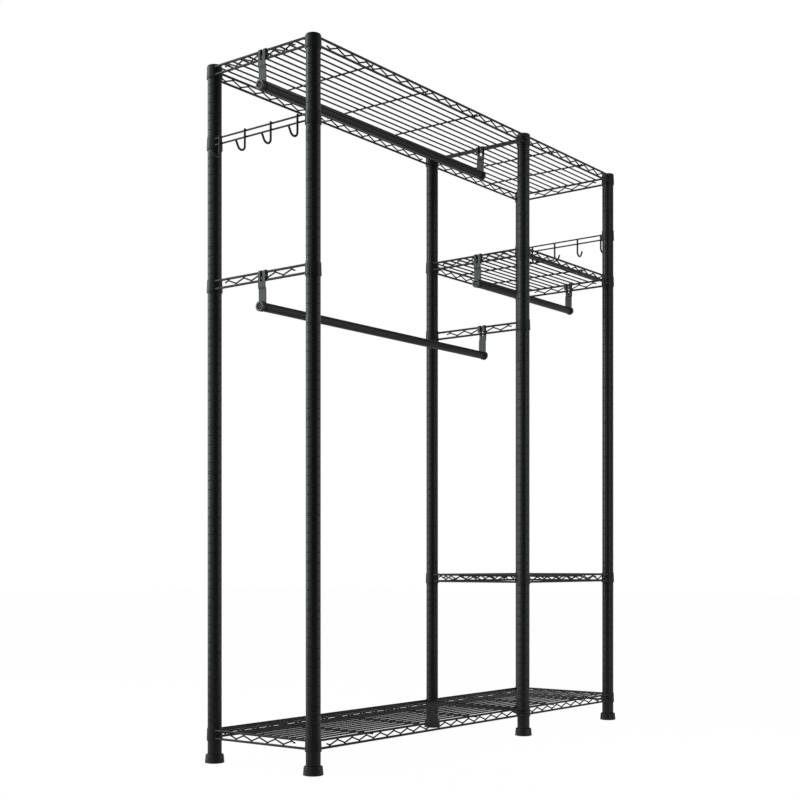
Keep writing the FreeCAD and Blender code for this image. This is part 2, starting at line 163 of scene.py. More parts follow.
def turned(profile, sides, closed=True):
    # the whole turn of a profile; one that isn't closed is capped at both ends
    return skin(spun(profile, aroundAngles(sides)), closeRows=closed)


def turnedHalf(profile, sides, start, stop):
    # part of the turn of a closed profile, with its two cut faces closed
    grid = spun(profile, np.linspace(start, stop, sides))
    first = np.arange(len(profile)) * sides
    ends = [first, (first + sides - 1)[::-1]]
    return facedOut(grid.reshape(-1, 3), gridQuads(len(profile), sides, True, False), ends)


def placed(surface, x, y, z=0.0):
    return surface[0] + np.array([x, y, z]), surface[1], surface[2]


def laidAlongX(surface, x, side, y, z):
    # a piece made along +Z points outwards along X, to the left for side -1
    local = surface[0]
    points = np.stack([x + side * local[:, 2], y + local[:, 0], z + local[:, 1]], -1)
    return facedOut(points, surface[1], surface[2])


def wire(path, normal, radius, sides, tip):
    # a circle carried along a flat path, square to it; the last tip of each end is rounded like a quarter
    # circle
    path = np.asarray(path, float)
    steps = np.diff(path, axis=0)
    steps /= np.linalg.norm(steps, axis=1, keepdims=True)
    phi = np.linspace(0, math.pi / 2, tipRings)
    inward, thin = tip * (1 - np.cos(phi)), radius - tip + tip * np.sin(phi)
    head = path[0] + steps[0] * inward[:, None]
    tail = (path[-1] - steps[-1] * inward[:, None])[::-1]
    line = np.concatenate([head, path[1:-1], tail])
    mean = steps[:-1] + steps[1:]
    along = np.concatenate([np.repeat(steps[:1], tipRings, 0), mean, np.repeat(steps[-1:], tipRings, 0)])
    along /= np.linalg.norm(along, axis=1, keepdims=True)
    girth = np.concatenate([thin, np.full(len(path) - 2, radius), thin[::-1]])[:, None, None]
    across = np.asarray(normal, float)
    up = np.cross(across, along)
    angle = aroundAngles(sides)[None, :, None]
    return skin(line[:, None] + girth * (np.cos(angle) * up[:, None] + np.sin(angle) * across))


def beads(centres, radii):
    # small ellipsoids, the same one at every centre: latitude rings scaled by three radii
    centres = np.asarray(centres, float).reshape(-1, 3)
    lat = np.radians(beadShape["latitudes"])[:, None]
    lon = aroundAngles(beadShape["sides"])[None]
    ball = np.stack([np.cos(lat) * np.cos(lon), np.cos(lat) * np.sin(lon), np.sin(lat) + 0 * lon], -1)
    points, quads, ends = skin(ball * np.asarray(radii))
    made = centres[:, None] + points
    shift = np.arange(len(centres)) * len(points)
    caps = [end + s for s in shift for end in ends]
    return made.reshape(-1, 3), (quads[None] + shift[:, None, None]).reshape(-1, 4), caps


def makePiece(name, surfaces, body, slotName, nodes, paintedShade=None):
    # all the skins of a piece go into one mesh as plain arrays
    points = np.concatenate([surface[0] for surface in surfaces])
    shift = np.cumsum([0] + [len(surface[0]) for surface in surfaces[:-1]])
    quads = np.concatenate([surface[1] + s for surface, s in zip(surfaces, shift)])
    caps = [cap + s for surface, s in zip(surfaces, shift) for cap in surface[2]]
    corners = np.concatenate([quads.ravel()] + caps)
    sizes = np.concatenate([np.full(len(quads), 4), [len(cap) for cap in caps]]).astype(int)
    starts = np.concatenate([[0], np.cumsum(sizes)[:-1]])
    mesh = bpy.data.meshes.new(name)
    mesh.vertices.add(len(points))
    mesh.vertices.foreach_set("co", points.ravel())
    mesh.loops.add(len(corners))
    mesh.loops.foreach_set("vertex_index", corners.astype(np.int32))
    mesh.polygons.add(len(sizes))
    mesh.polygons.foreach_set("loop_start", starts.astype(np.int32))
    mesh.update(calc_edges=True)
    mesh.polygons.foreach_set("use_smooth", np.ones(len(sizes), bool))
    mesh.set_sharp_from_angle(angle=math.radians(sharpAngle))
    if paintedShade is not None:  # painted shade: how deep in a groove each point lies, or 1 on a rod's turned-down end and on a disc's side wall and screw well; the finish paints it dark and dull
        mesh.attributes.new("paintedShade", "FLOAT", "POINT").data.foreach_set("value", paintedShade)
    mesh.materials.append(finishes[slotName])
    piece = bpy.data.objects.new(name, mesh)
    bpy.context.scene.collection.objects.link(piece)
    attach(piece, body)
    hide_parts(*nodes)
    return piece


# Finishes. A Value is a socket that can be added, multiplied and so on; a Sheet is one node tree.

class Value:
    def __init__(self, sheet, socket):
        self.sheet, self.socket = sheet, socket

    def join(self, operation, first, second):
        return self.sheet.node("ShaderNodeMath", {"operation": operation}, {0: first, 1: second})

    def __add__(self, other):
        return self.join("ADD", self, other)

    def __radd__(self, other):
        return self.join("ADD", other, self)

    def __sub__(self, other):
        return self.join("SUBTRACT", self, other)

    def __rsub__(self, other):
        return self.join("SUBTRACT", other, self)

    def __mul__(self, other):
        return self.join("MULTIPLY", self, other)

    def __rmul__(self, other):
        return self.join("MULTIPLY", other, self)

    def __pow__(self, other):
        return self.join("POWER", self, other)


class Sheet:
    def __init__(self, tree):
        self.tree = tree

    def feed(self, socket, value):
        if isinstance(value, Value):
            self.tree.links.new(value.socket, socket)
        else:
            socket.default_value = value

    def node(self, kind, settings=None, links=None, output=0):
        made = self.tree.nodes.new(kind)
        for key, value in (settings or {}).items():
            setattr(made, key, value)
        for key, value in (links or {}).items():
            self.feed(made.inputs[key], value)
        return Value(self, made.outputs[output]) if len(made.outputs) else made

    def coordinates(self, kind):
        return self.node("ShaderNodeTexCoord", output=kind)

    def noise(self, where, scale, detail):
        return self.node("ShaderNodeTexNoise", {}, {"Vector": where, "Scale": scale, "Detail": detail})

    def between(self, value, low, high):  # 0 below low, 1 above high, smooth in between
        return self.node("ShaderNodeMapRange", {"interpolation_type": "SMOOTHSTEP"},
                         {"Value": value, "From Min": low, "From Max": high})

    def tint(self, mask, first, second):
        return self.node("ShaderNodeMix", {"data_type": "RGBA"}, {0: mask, 6: first, 7: second}, 2)

    def along(self, vector, direction):  # how far a vector goes in a direction
        links = {0: vector, 1: direction}
        return self.node("ShaderNodeVectorMath", {"operation": "DOT_PRODUCT"}, links, "Value")

    def height(self, vector):
        return self.node("ShaderNodeSeparateXYZ", {}, {0: vector}, "Z")

    def rays(self, kind):
        return self.node("ShaderNodeLightPath", output="Is %s Ray" % kind)

    def either(self, first, second):
        return self.node("ShaderNodeMath", {"operation": "ADD", "use_clamp": True}, {0: first, 1: second})

    def paintedShadeMask(self):  # painted shade: 1 in the bottom of a groove and on the other shaded spots, 0 elsewhere
        return self.node("ShaderNodeAttribute", {"attribute_name": "paintedShade"}, output="Fac")

    def relief(self, height, strength, distance):
        return self.node("ShaderNodeBump", {}, {"Strength": strength, "Distance": distance, "Height": height})


def grey(level, warm=0.0):
    return (level * (1 + warm), level, level * (1 - warm), 1)


def newFinish(name):
    material = bpy.data.materials.new(name)
    material.use_nodes = True
    return material, Sheet(material.node_tree), material.node_tree.nodes["Principled BSDF"]


# painted shade: dark and dull where a groove or seam shades itself, on the rods' turned-down ends and on the
# end discs' side walls and screw wells
paintedShadeLook = {"tone": 0.0004, "share": 0.85, "rough": 0.5}

coatLook = {"dark": 0.0026, "light": 0.0052, "patchScale": 9, "rough": 0.38, "roughSpread": 0.12,
            "specular": 0.36, "peelScale": 620, "peelShare": 0.8, "peelHeight": 0.00005, "bump": 0.3,
            "grainScale": 2600, "grainShare": 0.4, "grainRough": 0.08,
            "dust": 0.01, "dustScale": 38, "dustShare": 0.5, "dustRough": 0.1, "dustFacing": (0.55, 1.0),
            "dustPatches": (0.42, 0.72)}


def powderCoat(name, look):
    # baked powder paint: orange peel of one to one and a half millimetres, finer grain on it, slow patches of
    # sheen, a trace of dust on what faces up, and in the bottom of a groove a painted shade that takes the
    # colour near black, with the sheen dulled
    material, sheet, shader = newFinish(name)
    where = sheet.coordinates("Object")
    patches = sheet.noise(where, look["patchScale"], 3)
    peel = sheet.noise(where, look["peelScale"], 1)
    grain = sheet.noise(where, look["grainScale"], 2)
    facing = sheet.height(sheet.node("ShaderNodeNewGeometry", output="Normal"))
    settled = sheet.noise(where, look["dustScale"], 4)
    dust = sheet.between(facing, *look["dustFacing"]) * sheet.between(settled, *look["dustPatches"])
    paintedShade = sheet.paintedShadeMask()
    cloud = patches * (1 - look["grainShare"]) + grain * look["grainShare"]
    paint = sheet.tint(cloud, grey(look["dark"]), grey(look["light"]))
    # painted shade: the colour goes near black where the shade mask is set
    paint = sheet.tint(paintedShade * paintedShadeLook["share"], paint, grey(paintedShadeLook["tone"]))
    sheet.feed(shader.inputs["Base Color"], sheet.tint(dust * look["dustShare"], paint, grey(look["dust"])))
    sheet.feed(shader.inputs["Roughness"],
               look["rough"] + (patches - 0.5) * look["roughSpread"] + (grain - 0.5) * look["grainRough"]
               + dust * look["dustRough"] + paintedShade * paintedShadeLook["rough"])
    surface = peel * look["peelShare"] + grain * (1 - look["peelShare"])
    sheet.feed(shader.inputs["Normal"], sheet.relief(surface, look["bump"], look["peelHeight"]))
    shader.inputs["Specular IOR Level"].default_value = look["specular"]
    return material


plasticLook = {"dark": 0.0032, "light": 0.0062, "streakStretch": (6, 6, 160), "rough": 0.42,
               "roughSpread": 0.1, "specular": 0.36, "grainScale": 1700, "grainShare": 0.45,
               "grainRough": 0.12, "grainHeight": 0.00004, "bump": 0.35}


def mouldedPlastic(name, look):
    # spark-eroded mould grain, with faint flow streaks that run round the piece at each height
    material, sheet, shader = newFinish(name)
    where = sheet.coordinates("Object")
    grain = sheet.noise(where, look["grainScale"], 3)
    stretched = sheet.node("ShaderNodeMapping", {}, {"Vector": where, "Scale": look["streakStretch"]})
    streaks = sheet.noise(stretched, 1.0, 3)
    paintedShade = sheet.paintedShadeMask()
    cloud = streaks * (1 - look["grainShare"]) + grain * look["grainShare"]
    colour = sheet.tint(cloud, grey(look["dark"]), grey(look["light"]))
    # painted shade: the colour goes near black where the shade mask is set
    colour = sheet.tint(paintedShade * paintedShadeLook["share"], colour, grey(paintedShadeLook["tone"]))
    sheet.feed(shader.inputs["Base Color"], colour)
    sheet.feed(shader.inputs["Roughness"],
               look["rough"] + (streaks - 0.5) * look["roughSpread"] + (grain - 0.5) * look["grainRough"]
               + paintedShade * paintedShadeLook["rough"])
    sheet.feed(shader.inputs["Normal"], sheet.relief(grain, look["bump"], look["grainHeight"]))
    shader.inputs["Specular IOR Level"].default_value = look["specular"]
    return material


plateLook = {"rough": 0.34, "cloudScale": 140, "cloudRough": 0.2, "toothScale": 3200, "toothRough": 0.1,
             "toothHeight": 0.00002, "bump": 0.3}
zincLook = {**plateLook, "dark": 0.42, "light": 0.62, "warm": 0.02}
oxideLook = {**plateLook, "dark": 0.06, "light": 0.1, "warm": -0.03}


def platedMetal(name, look):
    # plated steel: cloudy tone and a fine tooth
    material, sheet, shader = newFinish(name)
    where = sheet.coordinates("Object")
    clouds = sheet.noise(where, look["cloudScale"], 4)
    tooth = sheet.noise(where, look["toothScale"], 2)
    colour = sheet.tint(clouds, grey(look["dark"], look["warm"]), grey(look["light"], look["warm"]))
    sheet.feed(shader.inputs["Base Color"], colour)
    sheet.feed(shader.inputs["Roughness"],
               look["rough"] + (clouds - 0.5) * look["cloudRough"] + (tooth - 0.5) * look["toothRough"])
    sheet.feed(shader.inputs["Normal"], sheet.relief(tooth, look["bump"], look["toothHeight"]))
    shader.inputs["Metallic"].default_value = 1.0
    return material


finishes = {
    "post_coat": powderCoat("postCoat", coatLook),
    "wire_coat": powderCoat("wireCoat", {**coatLook, "peelScale": 900, "rough": 0.45, "specular": 0.32}),
    "rod_coat": powderCoat("rodCoat", {**coatLook, "rough": 0.42, "specular": 0.28}),
    "bracket_coat": powderCoat("bracketCoat", {**coatLook, "peelScale": 800, "rough": 0.4, "specular": 0.5}),
    "foot_plastic": mouldedPlastic("footPlastic", plasticLook),
    "sleeve_plastic": mouldedPlastic("sleevePlastic", {**plasticLook, "rough": 0.36, "grainScale": 2400}),
    "cap_plastic": mouldedPlastic("capPlastic", {**plasticLook, "rough": 0.38}),
    "disc_plastic": mouldedPlastic("discPlastic", {**plasticLook, "rough": 0.34, "specular": 0.65}),
    "insert_plastic": mouldedPlastic("insertNylon",
                                     {**plasticLook, "dark": 0.035, "light": 0.06, "rough": 0.5}),
    "stud_steel": platedMetal("zincPlate", zincLook),
    "screw_steel": platedMetal("blackOxide", oxideLook),
}
slotOf = {part["node"]: part["material_slot"] for part in frame["record"]["subparts"]}
for node, carried in frame["nodes"].items():
    carried.data.materials.clear()
    carried.data.materials.append(finishes[slotOf[node]])
print("finishes made:", len(finishes))


# Posts: tube with rolled grooves every inch, every fifth doubled.

postShape = {"radius": 0.020, "wall": 0.001, "edge": 0.0003, "edgeMid": 0.3, "edgeHold": 3, "sides": 44,
             "pitch": 0.0254, "first": {"lower": 0.0596, "upper": 0.012}, "endLand": 0.006,
             "width": 0.0018, "depth": 0.0006, "doubleEvery": 5, "doubleSpacing": 0.005,
             "plain": {"lower": 4, "upper": 3},  # single grooves under the first doubled one
             "bell": ((-1.4, 0), (-1.12, 0.03), (-0.85, 0.26), (-0.5, 0.74), (0, 1),
                      (0.5, 0.74), (0.85, 0.26), (1.12, 0.03), (1.4, 0))}  # half widths, share of the depth
postSpan = {"lower": (postBottom, postJoint), "upper": (postJoint, postTop)}


def grooveHeights(part):  # equal steps up to the section's end, every fifth with a twin just below it
    shape = postShape
    low, high = postSpan[part]
    room = high - shape["endLand"] - low - shape["first"][part]
    number = np.arange(int(room / shape["pitch"] + 1e-6) + 1)
    middle = low + shape["first"][part] + number * shape["pitch"]
    twin = middle[number % shape["doubleEvery"] == shape["plain"][part]] - shape["doubleSpacing"]
    return np.sort(np.concatenate([middle, twin]))


def postTube(part):
    # outside up, inside down; over a groove the radius follows a soft bell of the groove's depth
    shape = postShape
    low, high = postSpan[part]
    r, edge, bore = shape["radius"], shape["edge"], shape["radius"] - shape["wall"]
    mid, hold = shape["edgeMid"] * edge, shape["edgeHold"] * edge
    across, share = np.array(shape["bell"]).T
    middle = grooveHeights(part)
    z = (middle[:, None] + across * shape["width"] / 2).ravel()
    out = np.stack([np.tile(r - share * shape["depth"], len(middle)), z], -1)
    foot = [[bore, low], [r - edge, low], [r - mid, low + mid], [r, low + edge], [r, low + hold]]
    head = [[r, high - hold], [r, high - edge], [r - mid, high - mid], [r - edge, high], [bore, high]]
    # painted shade: the same bell of the groove's depth, darkest at the bottom of each groove
    paintedShade = np.concatenate([np.zeros(len(foot)), np.tile(share, len(middle)), np.zeros(len(head))])
    return turned(np.concatenate([foot, out, head]), shape["sides"]), np.repeat(paintedShade, shape["sides"])


tubes = {part: postTube(part) for part in ("lower", "upper")}
for (row, column), (x, y) in posts.items():
    for part, (tube, paintedShade) in tubes.items():
        makePiece("%sPost.%s.%s" % (part, row, column), [placed(tube, x, y)], "frame", "post_coat",
                  ["%s_post_%s_%s" % (part, row, column)], paintedShade=paintedShade)
print("posts made")


# Caps in the post tops, feet and their threaded studs.

capShape = {"edge": 0.0009, "dish": 0.0003, "dishInner": 0.62, "dishOuter": 0.70, "dishEdge": 0.0008,
            "skirt": 0.012, "skirtEdge": 0.0003, "gap": 0.0001, "wall": 0.0016, "centre": 0.002, "sides": 48}


def postCap():
    # lid over the tube's end with a rounded rim and a shallow dished middle, and a hollow skirt below it
    shape, r, top, under = capShape, postShape["radius"], cadHigh.z, postTop
    dish, soft, centre = top - shape["dish"], shape["dishEdge"], shape["centre"]
    skirt = r - postShape["wall"] - shape["gap"]
    inside, low = skirt - shape["wall"], under - shape["skirt"]
    corners = [(centre, dish, 0), (r * shape["dishInner"], dish, soft), (r * shape["dishOuter"], top, soft),
               (r, top, shape["edge"]), (r, under, 0), (skirt, under, 0), (skirt, low, shape["skirtEdge"]),
               (inside, low, shape["skirtEdge"]), (inside, under, 0), (centre, under, 0)]
    return turned(softProfile(corners), shape["sides"], closed=False)


makePiece("postTopCaps", [placed(postCap(), x, y) for x, y in posts.values()], "frame", "cap_plastic",
          ["post_top_caps"])

footShape = {"shoulder": 0.0054, "flare": 0.0021, "edge": 0.0026, "baseHeight": 0.0008, "baseEdge": 0.0007,
             "soleInset": 0.0035, "soleSlope": 0.0005, "soleLift": 0.0003, "soleEdge": 0.0003,
             "seatRim": 0.0012, "seatGap": 0.0007, "seatDepth": 0.0004, "softEdge": 0.0002,
             "hole": 0.00508, "holeDepth": 0.01508, "centre": 0.001, "sides": 64}
studShape = {"radius": 0.005, "pitch": 0.0015, "depth": 0.0007, "tip": 0.0015, "sides": 28, "rowsPerTurn": 8}


def footPad(high):
    # tapered pad with an eased shoulder, a sole that stands a little proud, a shallow seat for the post and a
    # hole for the stud
    shape, r, soft, centre = footShape, postShape["radius"], footShape["softEdge"], footShape["centre"]
    top = r + shape["shoulder"]
    base = top + shape["flare"]
    sole, lift = base - shape["soleInset"], shape["soleLift"]
    seat, floor = high - shape["seatDepth"], high - shape["holeDepth"]
    corners = [(centre, 0, 0), (sole, 0, shape["soleEdge"]), (sole + shape["soleSlope"], lift, soft),
               (base, lift + shape["baseHeight"], shape["baseEdge"]), (top, high, shape["edge"]),
               (r + shape["seatRim"], high, soft), (r + shape["seatGap"], seat, soft),
               (shape["hole"], seat, 0), (shape["hole"], floor, 0), (centre, floor, 0)]
    return turned(softProfile(corners), shape["sides"], closed=False)


def threadedStud(low, high):
    # single-start thread: the radius is a soft wave of height over pitch less the turn, and the tip tapers
    shape = studShape
    rows = int((high - low) / shape["pitch"] * shape["rowsPerTurn"])
    z = np.linspace(low, high, rows)[:, None]
    angle = aroundAngles(shape["sides"])[None]
    wave = 0.5 - 0.5 * np.cos(2 * math.pi * z / shape["pitch"] - angle)
    r = shape["radius"] - shape["depth"] * wave
    r = np.minimum(r, shape["radius"] - np.clip(z - high + shape["tip"], 0, None))
    return skin(np.stack([r * np.cos(angle), r * np.sin(angle), z + 0 * angle], -1))


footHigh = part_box("foot_front_left")[1].z
studLow, studHigh = (corner.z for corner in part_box("foot_stud_front_left"))
padSkin, studSkin = footPad(footHigh), threadedStud(studLow, studHigh)
for (row, column), (x, y) in posts.items():
    body = "levelling_foot_%s_%s" % (row, column)
    makePiece("foot.%s.%s" % (row, column), [placed(padSkin, x, y)], body, "foot_plastic",
              ["foot_%s_%s" % (row, column)])
    makePiece("footStud.%s.%s" % (row, column), [placed(studSkin, x, y)], body, "stud_steel",
              ["foot_stud_%s_%s" % (row, column)])
print("caps, feet and studs made")


# Split sleeves: two halves with a wedge cone, a lip under the collar and a ridge in a groove.

sleeveShape = {"clearance": 0.0001, "above": 0.003, "lip": 0.0001, "lipGap": 0.0005, "lipHeight": 0.003,
               "bevel": 0.0008, "edge": 0.0002, "topEdge": 0.0001, "split": 3.0, "sides": 30}


def collarRadius(z):  # straight cone, wider downwards
    slope = collarShape["taper"] / (collarShape["above"] + collarShape["below"])
    return collarShape["topRadius"] + slope * (collarShape["above"] - z)


def sleevePair(level):
    # one closed profile, whose ridge lies in the nearest groove, turned through two halves less the slits
    shape, gap = sleeveShape, sleeveShape["clearance"]
    edge, topEdge = shape["edge"], shape["topEdge"]
    bore = postShape["radius"] + gap
    top = min(collarShape["above"] + shape["above"], postTop - level)
    ledge = -collarShape["below"] - shape["lipGap"]
    low = ledge - shape["lipHeight"]
    lip = collarRadius(-collarShape["below"]) + shape["lip"]
    shrink = collarShape["wall"] + gap
    grooves = np.concatenate([grooveHeights("lower"), grooveHeights("upper")]) - level
    ridge = grooves[np.argmin(np.abs(grooves - (top + low) / 2))]
    half = postShape["width"] / 2 - gap
    crest = postShape["radius"] - postShape["depth"] + 2 * gap
    corners = [(bore, low, edge), (lip, low, shape["bevel"]), (lip, ledge, edge),
               (collarRadius(ledge) - shrink, ledge, 0), (collarRadius(top) - shrink, top, topEdge),
               (bore, top, topEdge), (bore, ridge + half, 0), (crest, ridge, edge), (bore, ridge - half, 0)]
    profile = softProfile(corners)
    cut = math.radians(shape["split"] / 2)
    return [turnedHalf(profile, shape["sides"], cut + turn, math.pi - cut + turn) for turn in (0, math.pi)]


levelColumns = {"top": columnNames, "bottom": columnNames, "rightUpper": ("mid", "right"),
                "rightLower": ("mid", "right"), "sideRail": ("left", "mid"), "hookRail": ("left", "right")}
halves = []
for level, names in levelColumns.items():
    pair = sleevePair(levels[level])
    places = [(xAt[name], yAt[row], levels[level]) for name in names for row in rowNames]
    halves += [placed(half, *place) for place in places for half in pair]
makePiece("splitSleeves", halves, "frame", "sleeve_plastic", ["split_sleeves"])
print("sleeves made:", len(halves), "halves")


# Wire work of a level: collars, rails coped to them, bent lattice wire and the weld beads.

wireShape = {"railRadius": 0.0034, "railHalf": 0.011, "railOffset": 0.012, "railSides": 20, "gap": 0.00005,
             "bite": 0.0004, "latticeRadius": 0.0022, "latticeBend": 0.004, "bendSteps": 7,
             "latticeSides": 14, "latticeTip": 0.0004, "tail": 0.86, "longPitch": 0.0621, "longClear": 0.032,
             "shortPitch": 0.0592, "shortClear": 0.064, "nugget": (0.0044, 0.0023, 0.0014)}
weldShape = {"long": 0.0024, "high": 0.0006, "sink": 0.00015, "root": 0.0004, "rootReach": 0.0003,
             "full": 0.35, "steps": 5}


def collarSkin():
    # thin cone with eased rims
    shape = collarShape
    top, low, wall, edge = shape["above"], -shape["below"], shape["wall"], shape["edge"]
    corners = [(collarRadius(low) - wall, low, edge), (collarRadius(low), low, edge),
               (collarRadius(top), top, edge), (collarRadius(top) - wall, top, edge)]
    return turned(softProfile(corners), shape["sides"])


collarMade = collarSkin()


def ringAt(offset, rise, radius, sides):
    # circle in the plane across a rail: sideways offset and rise from the level's middle
    angle = aroundAngles(sides)
    return np.stack([offset + radius * np.cos(angle), rise + radius * np.sin(angle)], -1)


def copeReach(section):
    # how far from the post's axis a straight bar meets the collar's cone: root of (radius^2 - offset^2)
    return np.sqrt(collarRadius(section[:, 1]) ** 2 - section[:, 0] ** 2)


def fromPost(section, reach, start, along, aside, level):
    # section points (offset, rise) and their reach along the bar, put beside a post
    flat = start + along * reach[:, None] + aside * section[:, :1]
    return np.concatenate([flat, level + section[:, 1:]], 1)


def copedBar(section, start, end, aside, level):
    # a section drawn straight from one post to the next, its ends cut to the collars' cones
    along = (end - start) / np.linalg.norm(end - start)
    reach = copeReach(section) - wireShape["bite"]
    first = fromPost(section, reach, start, along, aside, level)
    last = fromPost(section, reach, end, -along, aside, level)
    return skin(np.stack([first, last]))


def weldRing(offset, rise, radius, start, along, aside, level):
    # weld fillet round a rail's end: a parabola from the rail to the collar, closed by a hidden corner
    shape, sides = weldShape, wireShape["railSides"]
    on = ringAt(offset, rise, radius - shape["sink"], sides)
    off = ringAt(offset, rise, radius + shape["high"], sides)
    deep = ringAt(offset, rise, radius - shape["root"], sides)
    a = fromPost(on, copeReach(on) + shape["long"], start, along, aside, level)
    b = fromPost(off, copeReach(off) - shape["sink"], start, along, aside, level)
    hidden = fromPost(deep, copeReach(deep) - shape["rootReach"], start, along, aside, level)
    corner = fromPost(on, copeReach(on), start, along, aside, level)
    knee = shape["full"] * corner + (1 - shape["full"]) / 2 * (a + b)
    t = np.linspace(0, 1, shape["steps"])[:, None, None]
    bow = (1 - t) ** 2 * a + 2 * t * (1 - t) * knee + t ** 2 * b
    return skin(np.concatenate([bow, hidden[None]]), closeRows=True)


def latticePath(length, pitch, clear, outerLow):
    # arcs of the bend radius at every half pitch, up and down in turn, joined by straight legs
    shape = wireShape
    reach = shape["railHalf"] - shape["railRadius"] - shape["latticeRadius"] - shape["gap"]
    bend = shape["latticeBend"]
    spans = int((length - 2 * clear) / pitch)
    first = (length - spans * pitch) / 2
    lean = math.atan2(2 * reach, pitch / 2)
    lean = math.atan2(2 * (reach + bend * (1 / math.cos(lean) - 1)), pitch / 2)
    peak = reach + bend * (1 / math.cos(lean) - 1)
    number = np.arange(2 * spans + 1)
    x = first + number * pitch / 2
    side = np.where(number % 2 == 0, 1, -1) * (-1 if outerLow else 1)
    phi = np.linspace(-lean, lean, shape["bendSteps"])
    px = (x[:, None] + bend * np.sin(phi)).ravel()
    pz = (side[:, None] * (reach - bend + bend * np.cos(phi))).ravel()
    tail, end = shape["tail"] * pitch / 4, side[:1] * peak * (1 - shape["tail"])
    px = np.concatenate([[first - tail], px, [length - first + tail]])
    pz = np.concatenate([end, pz, end])
    welds = np.stack([x, side * (reach + shape["latticeRadius"])], -1)
    return np.stack([px, pz], -1), welds


def truss(start, end, aside, level, isLong):
    # two coped rails with their weld rings, the lattice between them and a nugget at each bend
    shape = wireShape
    length = np.linalg.norm(end - start)
    along = (end - start) / length
    made = []
    for rise in (shape["railHalf"], -shape["railHalf"]):
        section = ringAt(shape["railOffset"], rise, shape["railRadius"], shape["railSides"])
        made.append(copedBar(section, start, end, aside, level))
        for post, way in ((start, along), (end, -along)):
            made.append(weldRing(shape["railOffset"], rise, shape["railRadius"], post, way, aside, level))
    pitch = shape["longPitch"] if isLong else shape["shortPitch"]
    clear = shape["longClear"] if isLong else shape["shortClear"]
    path, welds = latticePath(length, pitch, clear, isLong)
    foot = start + aside * shape["railOffset"]
    lift = np.concatenate([foot + along * path[:, :1], level + path[:, 1:]], 1)
    normal = np.append(aside, 0)
    made.append(wire(lift, normal, shape["latticeRadius"], shape["latticeSides"], shape["latticeTip"]))
    spots = np.concatenate([foot + along * welds[:, :1], level + welds[:, 1:]], 1)
    long, wide, high = shape["nugget"]
    radii = np.abs(np.append(along, 0)) * long + np.abs(normal) * wide + np.array([0, 0, high])
    made.append(beads(spots, radii))
    return made


def collarsAt(names, level):
    return [placed(collarMade, xAt[name], yAt[row], level) for name in names for row in rowNames]


def sideTrusses(first, last, level):  # along the front and the back
    made = []
    for row, way in (("front", -1.0), ("back", 1.0)):
        made += truss(posts[row, first], posts[row, last], np.array([0, way]), level, True)
    return made


def endTruss(name, side, level):  # from a front post to the back post behind it
    return truss(posts["front", name], posts["back", name], np.array([side, 0.0]), level, False)


barShape = {"height": 0.013, "thick": 0.003, "edge": 0.0005, "top": 0.00845}


def midBar(level):
    # flat bar with eased edges, its section a softened rectangle
    half, top, edge = barShape["thick"] / 2, barShape["top"], barShape["edge"]
    low = top - barShape["height"]
    section = softProfile([(-half, low, edge), (half, low, edge), (half, top, edge), (-half, top, edge)])
    return copedBar(section, posts["front", "mid"], posts["back", "mid"], np.array([1.0, 0.0]), level)


def shelfFrame(names, level):
    # a full-width shelf has a flat bar between its middle posts
    made = collarsAt(names, level)
    for first, last in zip(names[:-1], names[1:]):
        made += sideTrusses(first, last, level)
    made += endTruss(names[0], -1.0, level) + endTruss(names[-1], 1.0, level)
    return made + [midBar(level)] if "mid" in names[1:-1] else made


# Decks: long wires on cross wires, with a weld nugget at each crossing and at each end.

deckShape = {"radius": 0.0025, "sides": 14, "tip": 0.0003, "pitch": 0.02946, "collarGap": 0.0002,
             "frontCount": 10, "backCount": 2, "backGap": 0.0332,
             "crossFirst": {"left": 0.241, "mid": 0.176}, "crossPitch": {"left": 0.258, "mid": 0.192},
             "nugget": (0.0023, 0.0023, 0.0010), "endNugget": (0.0015, 0.0032, 0.0031)}


def deckRows():
    # equal steps from the front collars, a wider one before the back rows
    shape = deckShape
    reach = collarRadius(wireShape["railHalf"] - shape["radius"]) + shape["radius"]
    ahead = yAt["front"] + reach + shape["collarGap"] + np.arange(shape["frontCount"]) * shape["pitch"]
    behind = ahead[-1] + shape["backGap"] + np.arange(shape["backCount"]) * shape["pitch"]
    return np.concatenate([ahead, behind]), reach


def crossPlaces(names):  # equal steps across each bay, from its left post
    made = []
    for start, end in zip(names[:-1], names[1:]):
        first, pitch = deckShape["crossFirst"][start], deckShape["crossPitch"][start]
        made.append(xAt[start] + np.arange(first, xAt[end] - xAt[start] - pitch / 2, pitch))
    return np.concatenate(made)


def deck(names, level):
    shape, r, sides, tip = deckShape, deckShape["radius"], deckShape["sides"], deckShape["tip"]
    z = level + wireShape["railHalf"]
    low = z - 2 * r - wireShape["gap"]
    inset = wireShape["railOffset"] - wireShape["railRadius"] - wireShape["gap"]
    x0, x1 = xAt[names[0]] - inset, xAt[names[-1]] + inset
    y0, y1 = yAt["front"] - inset, yAt["back"] + inset
    rows, reach = deckRows()
    free = np.minimum(rows - yAt["front"], yAt["back"] - rows) > reach
    crosses = crossPlaces(names)
    made = [wire([(x0, y, z), (x1, y, z)], (0, 0, 1), r, sides, tip) for y in rows[free]]
    made += [wire([(x, y0, low), (x, y1, low)], (0, 0, 1), r, sides, tip) for x in crosses]
    for y in rows[~free]:  # a wire in line with the posts butts on their collars
        section = ringAt(yAt["back"] - y, wireShape["railHalf"], r, sides)
        for a, b in zip(names[:-1], names[1:]):
            made.append(copedBar(section, posts["back", a], posts["back", b], np.array([0.0, -1.0]), level))
    grid = np.stack(np.meshgrid(crosses, rows), -1).reshape(-1, 2)
    made.append(beads(np.column_stack([grid, np.full(len(grid), z - r)]), shape["nugget"]))
    ends = np.concatenate([[(x, y, z) for y in rows[free]] for x in (x0, x1)])
    made.append(beads(ends, shape["endNugget"]))
    thick, wide, high = shape["endNugget"]
    tips = np.concatenate([[(x, y, low) for x in crosses] for y in (y0, y1)])
    made.append(beads(tips, (wide, thick, high)))
    return made


